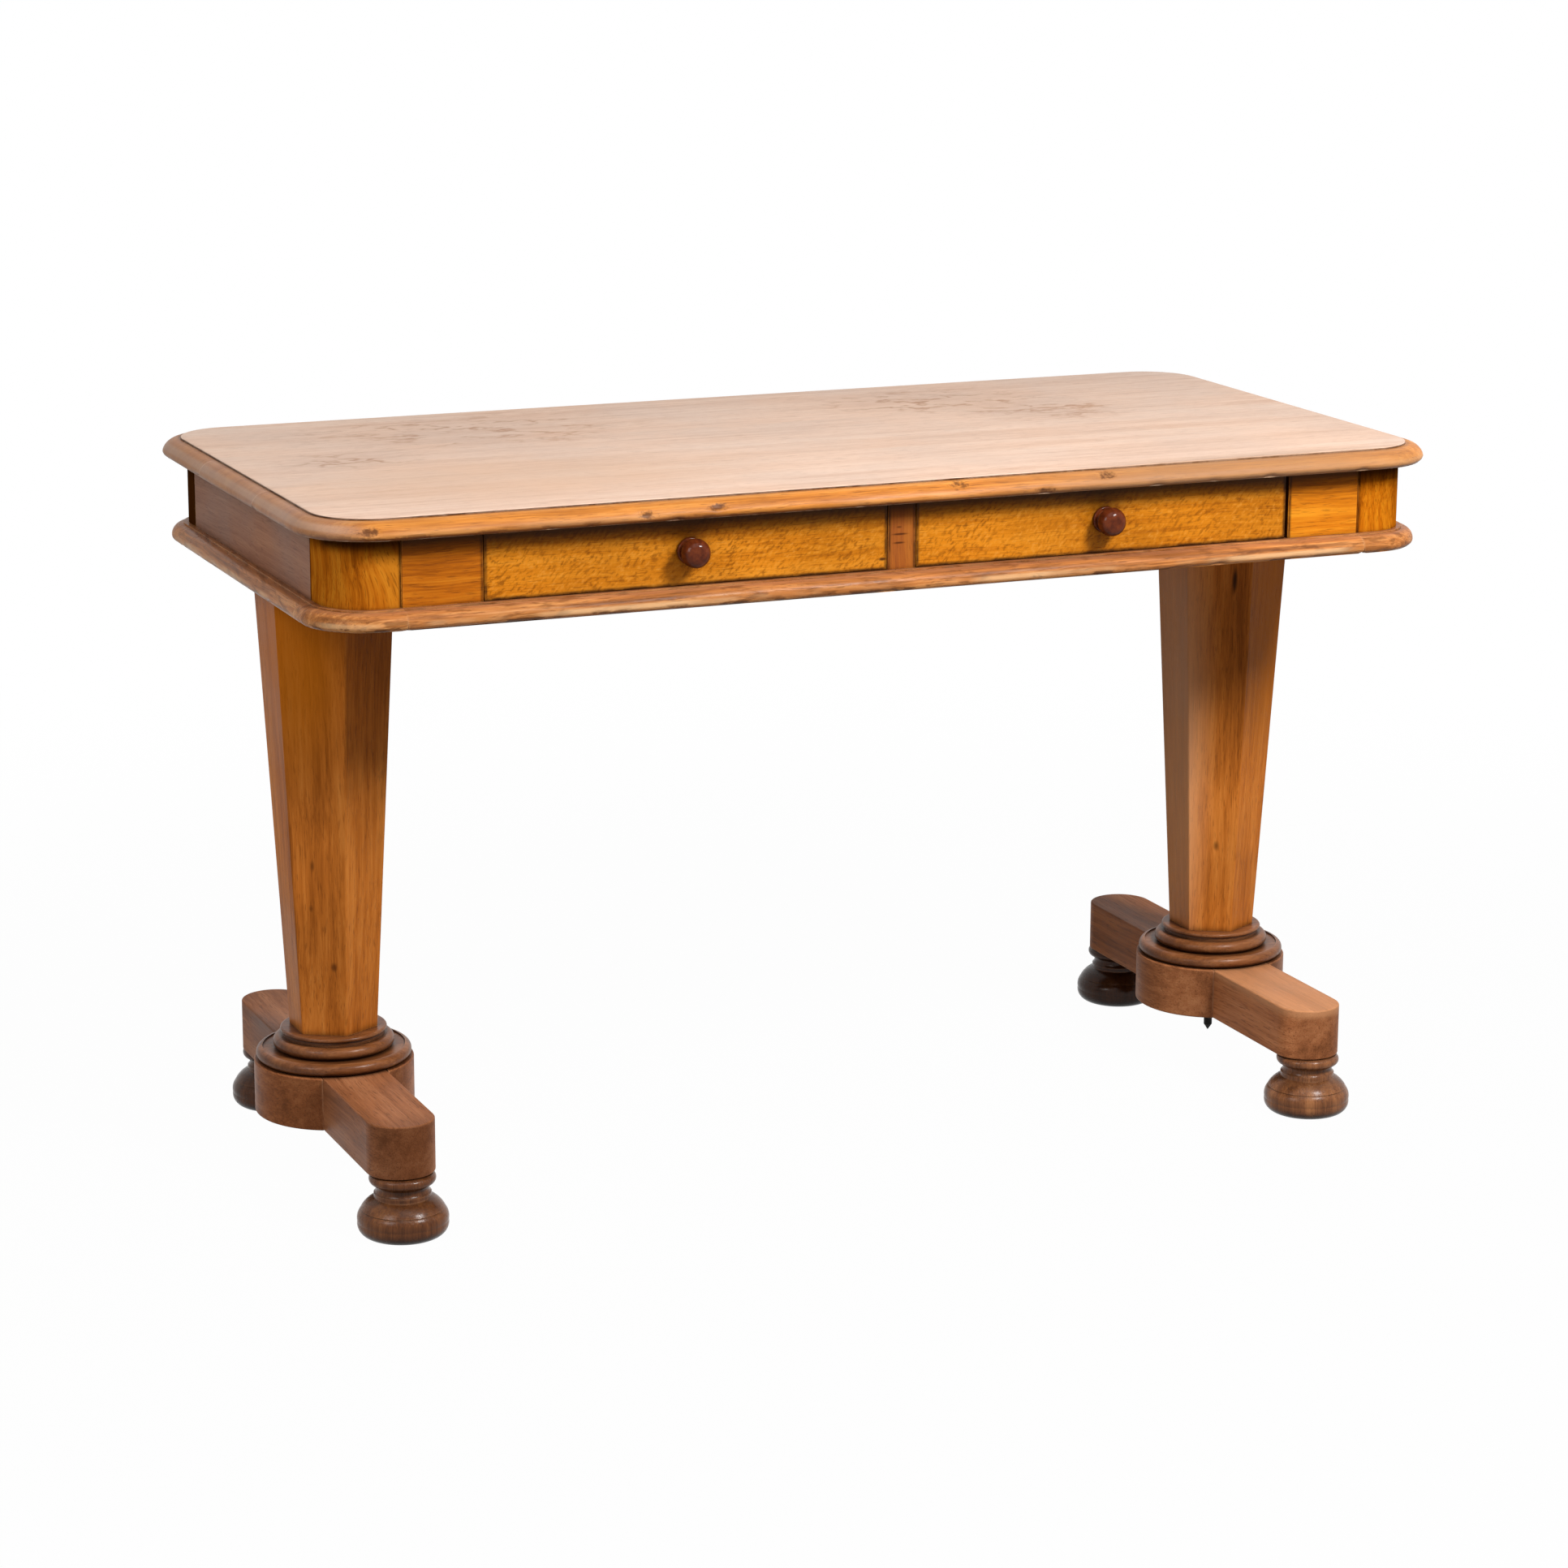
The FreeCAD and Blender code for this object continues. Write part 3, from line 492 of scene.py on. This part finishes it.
def moulding_wood(name, axis, seed):
    """Moulding with a dusty upper face, a pale lip that is partly rubbed wear and partly painted highlight,
    and dark chips along its lower arris.
    """
    look = looks["moulding_oak"]
    graph = Graph(bpy.data.materials.new(name))
    place, colour, height, rough = grain(graph, look, axis, seed)
    here = graph.place()
    dusty = graph.ramp(graph.normal("Z"), 0.75, 0.97, 0.0, 0.45)
    colour = graph.mix(dusty, colour, dust_tone)
    turn = (0, streak_slant, streak_slant)
    slanted = graph.add("ShaderNodeMapping", {"Vector": place, "Rotation": turn}).outputs[0]
    streaks = graph.ramp(graph.streaky(slanted, *slanted_noise), 0.53, 0.66, 0.0, 0.55)
    colour = graph.mix(streaks, colour, look["pore"])
    rise = graph.math("SUBTRACT", graph.axis(here, "Z"), base_under_z)
    patchy = graph.ramp(graph.noise(here, *base_lip_noise), 0.42, 0.62, 0.0, 0.6)
    # Pale lip, partly rubbed wear and partly painted highlight
    lip = graph.band(rise, *base_lip)
    colour = graph.mix(graph.math("MULTIPLY", lip, patchy), colour, look["worn"])
    line = graph.band(rise, *base_line)
    colour = graph.mix(graph.math("MULTIPLY", line, patchy), colour, look["pore"])
    chips = graph.ramp(graph.streaky(place, *base_chip_noise), 0.52, 0.6)
    low = graph.ramp(rise, *chip_band, 0.0, 0.9)
    colour = graph.mix(graph.math("MULTIPLY", chips, low), colour, look["pore"])
    colour = aged(graph, look, place, colour, worn_share=0.15, grime_and_shade_share=0.7)
    return graph.finish(colour, rough, height, look["coat"], bump=0.4, specular=look["specular"])


def rim_gold(graph, here, place, seed):
    """Golden polish of the top's moulded rim, with painted shade on its lower part, a pale lip that is
    partly rubbed wear and partly painted highlight, chips, and at the left end painted shade and a painted
    highlight.
    """
    look = looks["rim_oak"]
    _, colour, _, _ = grain(graph, look, "X", seed + rim_seed_step)
    rise = graph.math("SUBTRACT", graph.axis(here, "Z"), top_under_z)
    # Painted shade on the lower part of the top's nose
    colour = graph.mix(graph.ramp(rise, *nose_shade, 0.0, 0.8), colour, look["pore"])
    # Pale lip, partly rubbed wear and partly painted highlight
    patchy = graph.ramp(graph.noise(here, *top_lip_noise), 0.42, 0.62, 0.0, 0.2)
    colour = graph.mix(graph.math("MULTIPLY", graph.band(rise, *top_lip), patchy), colour, look["worn"])
    chips = graph.ramp(graph.streaky(place, *top_chip_noise), 0.53, 0.6)
    low = graph.ramp(rise, *chip_band, 0.0, 0.8)
    colour = graph.mix(graph.math("MULTIPLY", chips, low), colour, look["pore"])
    along = graph.math("SUBTRACT", graph.axis(here, "X"), top_low.x)
    # Painted shade on the left end of the rim, and a painted highlight along its nose
    left = graph.ramp(along, *grey_end, 0.0, 0.6)
    colour = graph.mix(left, colour, left_end_shade_tone)
    highlight = graph.math("MULTIPLY", graph.band(rise, *top_highlight), left)
    return graph.mix(graph.math("MULTIPLY", highlight, 0.7), colour, painted_highlight_tone)


def figured(graph, here, colour):
    """Patches of brown figure, drawn as broken growth rings, and a tan patch."""
    flow = graph.vector("MULTIPLY", here, figure_stretch)
    swirl = graph.noise(flow, *figure_noise)
    rings = graph.math("PINGPONG", graph.math("MULTIPLY", swirl, ring_count), 0.5)
    lines = graph.ramp(rings, 0.22, 0.0)
    broken = graph.ramp(graph.noise(flow, *figure_gap_noise), 0.36, 0.6)
    figure = graph.math("ADD", graph.math("MULTIPLY", lines, broken), figure_ground_share)
    for centre, radii in figure_patches:
        share = graph.math("MULTIPLY", graph.spot(here, centre, radii), figure)
        colour = graph.mix(graph.math("MULTIPLY", share, figure_strength), colour, figure_tone)
    tan = graph.spot(here, *tan_patch)
    return graph.mix(graph.math("MULTIPLY", tan, tan_strength), colour, tan_tone)


def top_wood(name, seed):
    """Pale, dry field with brown figure towards the back; the moulded rim keeps its golden polish."""
    look = looks["top_oak"]
    graph = Graph(bpy.data.materials.new(name))
    place, colour, height, rough = grain(graph, look, "X", seed)
    here = graph.place()
    colour = figured(graph, here, colour)
    gold = rim_gold(graph, here, place, seed)
    drop = graph.math("SUBTRACT", top_field_z, graph.axis(here, "Z"))
    colour = graph.mix(graph.ramp(drop, *rim_start), colour, gold)
    # Dark line of dirt and painted shade on the step's riser
    colour = graph.mix(graph.math("MULTIPLY", graph.band(drop, *step_line), 0.9), colour, step_tone)
    colour = stained(graph, colour, rim_right_patch)
    colour = stained(graph, colour, rim_marks, nick_raggedness)
    colour = aged(graph, look, place, colour, worn_share=0.5, grime_and_shade_share=0.9)
    return graph.finish(colour, rough, height, look["coat"], bump=0.3, specular=look["specular"])


def drawer_wood(name, seed, node):
    """Honey oak with short dark flecks that lean across the board."""
    look = looks["drawer_front_oak"]
    graph = Graph(bpy.data.materials.new(name))
    place, colour, height, rough = grain(graph, look, "X", seed)
    turned = graph.add("ShaderNodeMapping", {"Vector": place, "Rotation": (0, fleck_lean, 0)}).outputs[0]
    turned = graph.swayed(turned, place, fleck_sway_noise, (fleck_sway, fleck_sway, fleck_sway))
    flecks = graph.streaky(turned, *fleck_noise)
    gathered = graph.ramp(graph.noise(place, *fleck_group_noise), 0.35, 0.65, 0.3, 0.62)
    share = graph.math("MULTIPLY", graph.ramp(flecks, 0.5, 0.66), gathered)
    colour = graph.mix(share, colour, look["pore"])
    colour = graph.mix(graph.ramp(flecks, 0.46, 0.3, 0.0, 0.28), colour, look["worn"])
    colour = stained(graph, colour, marks_on(node))
    colour = seamed(graph, look, node, colour)
    # Painted shadow of the top's overhang along the upper edge of the drawer front
    colour = painted_overhang_shadow(graph, look, colour)
    colour = aged(graph, look, place, colour, worn_share=0.5, grime_and_shade_share=0.8)
    return graph.finish(colour, rough, height, look["coat"], bump=0.15, specular=look["specular"])


def knob_wood(name, seed):
    """Dark, polished wood of the knobs."""
    graph = Graph(bpy.data.materials.new(name))
    place = graph.along_grain("Y", seed)
    tone = graph.streaky(place, *knob_noise)
    colour = graph.tones(graph.ramp(tone, 0.25, 0.75), *knob_tones)
    rough = graph.ramp(graph.noise(place, *knob_gloss_noise), 0.3, 0.7, 0.14, 0.22)
    return graph.finish(colour, rough, tone, coat=0.16, bump=0.06, coat_roughness=0.05, specular=0.05)


def iron(name, seed):
    """Dark iron with a little rust."""
    graph = Graph(bpy.data.materials.new(name))
    place = graph.along_grain("Z", seed)
    rust = graph.noise(place, *rust_noise)
    colour = graph.tones(rust, *iron_tones)
    rough = graph.ramp(rust, 0.3, 0.7, 0.45, 0.75)
    return graph.finish(colour, rough, rust, coat=0.0, bump=0.5)


# Grain by the start of a node's name; the first that fits counts, and X where none does
grain_axes = (
    ("top_board", "X"), ("corner_block", "Z"), ("end_rail", "Y"), ("back_rail", "X"), ("front_block", "X"),
    ("centre_muntin", "Z"), ("base_rail_front", "X"), ("base_rail_back", "X"), ("base_rail", "Y"),
    ("base_corner", "X"), ("column", "Z"), ("collar", "X"), ("base_bar", "Y"), ("base_cheek", "Y"),
    ("foot", "Z"), ("cross_bearer", "Y"), ("drawer_runner", "Y"), ("drawer_guides", "Y"),
    ("left_drawer_side", "Y"), ("right_drawer_side", "Y"),
)


def grain_axis(node):
    for start, axis in grain_axes:
        if node.startswith(start):
            return axis
    return "X"


# Sides of the frieze pieces that lie against a neighbour
jointed_sides = (
    ("corner_block_front_left", ("+X", "+Y")), ("corner_block_front_right", ("-X", "+Y")),
    ("corner_block_back_left", ("+X", "-Y")), ("corner_block_back_right", ("-X", "-Y")),
    ("front_block", ("-X", "+X")), ("centre_muntin", ("-X", "+X")), ("end_rail", ("-Y", "+Y")),
    ("back_rail", ("-X", "+X")), ("left_drawer_front", ("-X", "+X", "-Z", "+Z")),
    ("right_drawer_front", ("-X", "+X", "-Z", "+Z")),
)


def joint_sides(node):
    for start, sides in jointed_sides:
        if node.startswith(start):
            return sides
    return ()


# Step from a top board's seed to that of its rim
rim_seed_step = 3

# Figure of the top: stretch of its pattern, rings in it, its strength, and its share between the rings
figure_stretch = (1.0, 1.8, 0.0)
ring_count = 6.0
figure_strength = 0.66
figure_ground_share = 0.22

# Strength of the tan patch
tan_strength = 0.35

# Places on the top where the figure and the tan show: centres and half-sizes
figure_patches = (
    (on_top(0.255, 0.765), (0.26, 0.14, 1.0)),
    (on_top(0.695, 0.78), (0.18, 0.12, 1.0)),
    (on_top(0.77, 0.615), (0.12, 0.10, 1.0)),
    (on_top(0.11, 0.55), (0.10, 0.06, 1.0)),
)
tan_patch = (on_top(0.206, 0.285), (0.34, 0.16, 1.0))

# Marks on the rim, with ragged edges on the nicks: a tone, a strength, a centre and half-sizes
nick_places = [inside("top_board_front", along, 0.0, up) for along, up in nick_shares]
nick_raggedness = 2.4
rim_marks = [(nick_tone, 0.8, place, (nick_sizes[0], nick_reach, nick_sizes[1])) for place in nick_places]
# A duller, darker patch along the right of the rim's front
rim_right_patch = ((dull_tan_tone, 0.7, inside("top_board_front", 0.8, 0.0, 0.2), (0.36, 0.05, 0.05)),)

# Marks on other pieces: a tone, a strength, a centre as shares of the piece's box, and half-sizes
stains = {
    "column_left": (
        (shade_tone, 0.35, (1.0, 0.22, 0.84), (0.07, 0.09, 0.16)),
        (gold_tone, 0.65, (0.15, 0.2, 0.85), (0.07, 0.09, 0.2)),
        (knot_and_shade_tone, 0.7, (0.41, 0.09, 0.25), (0.004, 0.06, 0.007)),
        (knot_and_shade_tone, 0.6, (0.26, 0.09, 0.435), (0.003, 0.06, 0.009)),
        (knot_and_shade_tone, 0.6, (0.25, 0.09, 0.357), (0.003, 0.06, 0.006)),
    ),
    "column_right": (
        (gold_tone, 0.75, (0.8, 0.3, 0.75), (0.05, 0.08, 0.22)),
        # Painted light on the left facet of the right column
        (painted_light_tone, 0.9, (-0.2, 0.5, 0.45), (0.075, 0.13, 0.5)),
        (knot_and_shade_tone, 0.95, (0.374, 0.02, 0.815), (0.0035, 0.05, 0.022)),
        (knot_and_shade_tone, 0.7, (-0.037, 0.16, 0.553), (0.005, 0.06, 0.007)),
        (knot_and_shade_tone, 0.7, (0.35, 0.09, 0.294), (0.004, 0.05, 0.008)),
    ),
    "centre_muntin": (
        (brown_tone, 0.55, (0.5, 0.0, 0.33), (0.05, 0.05, 0.09)),
        (knot_and_shade_tone, 0.8, (0.43, 0.0, 0.56), (0.012, 0.03, 0.0016)),
        (knot_and_shade_tone, 0.8, (0.4, 0.0, 0.45), (0.009, 0.03, 0.0016)),
        (knot_and_shade_tone, 0.6, (0.4, 0.0, 0.65), (0.004, 0.03, 0.0016)),
    ),
    "left_drawer_front": ((knot_and_shade_tone, 0.9, (0.988, 0.0, 0.16), (0.006, 0.03, 0.0025)),),
    # Painted shade over the back-left corner block
    "corner_block_back_left": ((knot_and_shade_tone, 0.95, (0.0, 0.5, 0.24), (0.02, 0.2, 0.2)),),
    "base_bar_right": ((pale_tone, 0.5, (0.16, 0.1, 1.0), (0.2, 0.3, 0.012)),),
    "base_bar_left": ((shade_tone, 0.45, (0.84, -0.03, 0.66), (0.1, 0.07, 0.1)),),
}


def marks_on(node):
    """The marks of one piece, placed in its box."""
    marks = stains.get(node, ())
    return [(tone, strength, inside(node, *shares), sizes) for tone, strength, shares, sizes in marks]


# Factors on red, green and blue for pieces that are lighter or darker than their wood; on the back feet the
# darkening is painted shade
tints = {
    "front_block_right": (1.15, 1.25, 1.1, 1),
    "corner_block_front_right": (1.0, 0.98, 0.6, 1),
    "base_bar_right": (1.25, 1.2, 1.1, 1),
    "base_cheek_outer_right": (1.1, 1.08, 1.0, 1),
    "base_cheek_inner_right": (1.1, 1.08, 1.0, 1),
    "base_cheek_outer_left": (1.0, 0.9, 0.75, 1),
    "base_cheek_inner_left": (1.0, 0.9, 0.75, 1),
    "foot_front_right": (1.3, 1.35, 1.35, 1),
    "foot_front_left": (0.9, 0.85, 0.75, 1),
    # Painted shade on the back feet
    "foot_back_left": (0.55, 0.5, 0.42, 1),
    "foot_back_right": (0.4, 0.34, 0.28, 1),
}

# Pieces that don't have the look of their slot, by the start of the node's name; the first that fits counts
other_looks = (
    ("end_rail", "end_oak"), ("collar", "collar_oak"),
    ("corner_block_back_left", "shaded_oak"), ("corner_block", "corner_oak"),
)


def own_look(node, slot):
    """Look of a piece: that of its slot, unless its kind has one of its own."""
    for start, look in other_looks:
        if node.startswith(start):
            return look
    return slot


def material_for(node, slot, seed):
    name = "finish_" + node
    if slot == "top_oak":
        return top_wood(name, seed)
    if slot == "drawer_front_oak":
        return drawer_wood(name, seed, node)
    if slot == "moulding_oak":
        return moulding_wood(name, grain_axis(node), seed)
    if slot == "knob_wood":
        return knob_wood(name, seed)
    if slot == "iron":
        return iron(name, seed)
    return plain_wood(name, own_look(node, slot), grain_axis(node), seed, node)


def dress_nodes():
    for seed, part in enumerate(frame["record"]["subparts"], 1):
        node = part["node"]
        material = material_for(node, part["material_slot"], seed)
        for holder in frame["nodes"][node].material_slots:
            holder.material = material


# Worn copies of the moulded edges

def cut_across(mesh, axis, step):
    """Cuts a nose by evenly spaced planes square to one axis, so that it can be dented."""
    normal = Vector((axis == "X", axis == "Y", 0))
    reach = [vertex.co.dot(normal) for vertex in mesh.verts]
    count = int((max(reach) - min(reach)) / step)
    left = [face for face in mesh.faces if abs(face.normal.z) < level_share]
    for number in range(1, count):
        level = min(reach) + number * (max(reach) - min(reach)) / count
        left = [face for face in left if max(vertex.co.dot(normal) for vertex in face.verts) > level]
        faces = [face for face in left if min(vertex.co.dot(normal) for vertex in face.verts) < level]
        edges = list(dict.fromkeys(edge for face in faces for edge in face.edges))
        verts = list(dict.fromkeys(vertex for face in faces for vertex in face.verts))
        parts = faces + edges + verts
        made = bmesh.ops.bisect_plane(mesh, geom=parts, plane_co=normal * level, plane_no=normal)
        new_faces = [part for part in made["geom"] if isinstance(part, bmesh.types.BMFace)]
        left = list(dict.fromkeys(left + new_faces))


def nicked(point):
    """Depth of the nicks in the top's front nose at one point."""
    if point.y > top_low.y + nick_reach:
        return 0
    gaps = [point - place for place in nick_places]
    away = [math.hypot(gap.x / nick_sizes[0], gap.z / nick_sizes[1]) for gap in gaps]
    return nick_depth * max(0, 1 - min(away))


def dent(mesh, low_z, seed):
    """Chips and ripples the lower part of a moulded nose and cuts the nicks, always inwards."""
    shift = Vector((0.0, 0.0, wear_shift * seed))
    mesh.normal_update()
    moves = {}
    for vertex in mesh.verts:
        outward = Vector((vertex.normal.x, vertex.normal.y, 0))
        if outward.length < outward_share:
            continue
        fade = min(1, max(0, 1 - (vertex.co.z - low_z) / wear_height))
        bite = max(0, noise.noise(vertex.co * chip_scale + shift) - chip_threshold) * chip_depth
        ripple = (noise.noise(vertex.co * ripple_scale + shift) + 1) * ripple_depth
        moves[vertex] = -vertex.normal * ((bite + ripple) * fade + nicked(vertex.co))
    for vertex, move in moves.items():
        vertex.co += move


def worn_copy(node, axes, low_z, seed):
    """Dented copy of a moulded piece, which stands for its plain node."""
    source = frame["nodes"][node]
    bm = bmesh.new()
    bm.from_mesh(source.data)
    bmesh.ops.remove_doubles(bm, verts=bm.verts, dist=weld_distance)
    for axis in axes:
        cut_across(bm, axis, wear_step)
    dent(bm, low_z, seed)
    mesh = bpy.data.meshes.new("worn_" + node)
    bm.to_mesh(mesh)
    bm.free()
    if "custom_normal" in mesh.attributes:
        mesh.attributes.remove(mesh.attributes["custom_normal"])
    mesh.shade_smooth()
    mesh.set_sharp_from_angle(angle=crease_angle)
    piece = bpy.data.objects.new("worn_" + node, mesh)
    bpy.context.scene.collection.objects.link(piece)
    mesh.materials.clear()
    mesh.materials.append(source.material_slots[0].material)
    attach(piece, "table")
    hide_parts(node)


def wear_edges():
    for seed, (node, axes, low_z) in enumerate(worn_nodes):
        worn_copy(node, axes, low_z, seed)


# The pieces to wear, the axes they are cut along and the level of their underside
worn_nodes = (
    ("top_board_front", "XY", top_under_z),
    ("top_board_middle", "Y", top_under_z),
    ("top_board_back", "XY", top_under_z),
    ("base_rail_front", "X", base_under_z),
    ("base_rail_back", "X", base_under_z),
    ("base_rail_left", "Y", base_under_z),
    ("base_rail_right", "Y", base_under_z),
    ("base_corner_front_left", "XY", base_under_z),
    ("base_corner_front_right", "XY", base_under_z),
    ("base_corner_back_left", "XY", base_under_z),
    ("base_corner_back_right", "XY", base_under_z),
)


# Stage

def direction(azimuth, elevation):
    """Unit vector from the table towards a light or the camera; azimuth 0 is the front, 90 the right."""
    level = math.cos(elevation)
    return Vector((math.sin(azimuth) * level, -math.cos(azimuth) * level, math.sin(elevation)))


def add_camera():
    back = direction(camera_azimuth, camera_elevation)
    right = Vector((0, 0, 1)).cross(back).normalized()
    up = back.cross(right)
    spot = Vector((0, 0, camera_aim_height)) + back * camera_distance + right * camera_side
    side = right * math.cos(camera_roll) + up * math.sin(camera_roll)
    top = up * math.cos(camera_roll) - right * math.sin(camera_roll)
    data = bpy.data.cameras.new("camera")
    data.lens = camera_lens
    data.sensor_width = camera_sensor
    camera = bpy.data.objects.new("camera", data)
    camera.matrix_world = Matrix.Translation(spot) @ Matrix((side, top, back)).transposed().to_4x4()
    bpy.context.scene.collection.objects.link(camera)
    bpy.context.scene.camera = camera


def add_lights():
    for name, (azimuth, elevation, distance, size, power) in lights.items():
        data = bpy.data.lights.new(name, "AREA")
        data.shape = "SQUARE"
        data.size = size
        data.energy = power
        lamp = bpy.data.objects.new(name, data)
        back = direction(azimuth, elevation)
        lamp.location = light_aim + back * distance
        lamp.rotation_mode = "QUATERNION"
        lamp.rotation_quaternion = (-back).to_track_quat("-Z", "Y")
        bpy.context.scene.collection.objects.link(lamp)


def seen_directly(graph):
    """1 for rays that show the background itself: from the camera, off gloss or through glass."""
    path = graph.add("ShaderNodeLightPath").outputs
    share = graph.math("MAXIMUM", path["Is Camera Ray"], path["Is Glossy Ray"])
    return graph.math("MAXIMUM", share, path["Is Transmission Ray"])


def add_world():
    world = bpy.data.worlds.new("studio")
    bpy.context.scene.world = world
    graph = Graph(world)
    strength = graph.ramp(seen_directly(graph), 0.0, 1.0, ambient_strength, 1.0)
    glow = graph.add("ShaderNodeBackground", {"Color": (1, 1, 1, 1), "Strength": strength})
    output = graph.add("ShaderNodeOutputWorld")
    graph.tree.links.new(glow.outputs[0], output.inputs[0])


def add_floor():
    half = floor_size / 2
    mesh = bpy.data.meshes.new("floor")
    corners = [(-half, -half, 0), (half, -half, 0), (half, half, 0), (-half, half, 0)]
    mesh.from_pydata(corners, [], [(0, 1, 2, 3)])
    floor = bpy.data.objects.new("floor", mesh)
    bpy.context.scene.collection.objects.link(floor)
    graph = Graph(bpy.data.materials.new("floor"))
    paper = graph.add("ShaderNodeBsdfDiffuse", {"Color": (floor_grey, floor_grey, floor_grey, 1)})
    white = graph.add("ShaderNodeEmission", {"Color": (1, 1, 1, 1), "Strength": 1.0})
    whiteness = graph.ramp(graph.length(graph.place()), *floor_fade, floor_white_share, 1.0)
    share = graph.math("MULTIPLY", seen_directly(graph), whiteness)
    mixed = graph.add("ShaderNodeMixShader", {0: share, 1: paper.outputs[0], 2: white.outputs[0]})
    output = graph.add("ShaderNodeOutputMaterial")
    graph.tree.links.new(mixed.outputs[0], output.inputs[0])
    mesh.materials.append(graph.owner)


dress_nodes()
wear_edges()
add_camera()
add_lights()
add_world()
add_floor()
bpy.context.scene.view_settings.view_transform = "Standard"
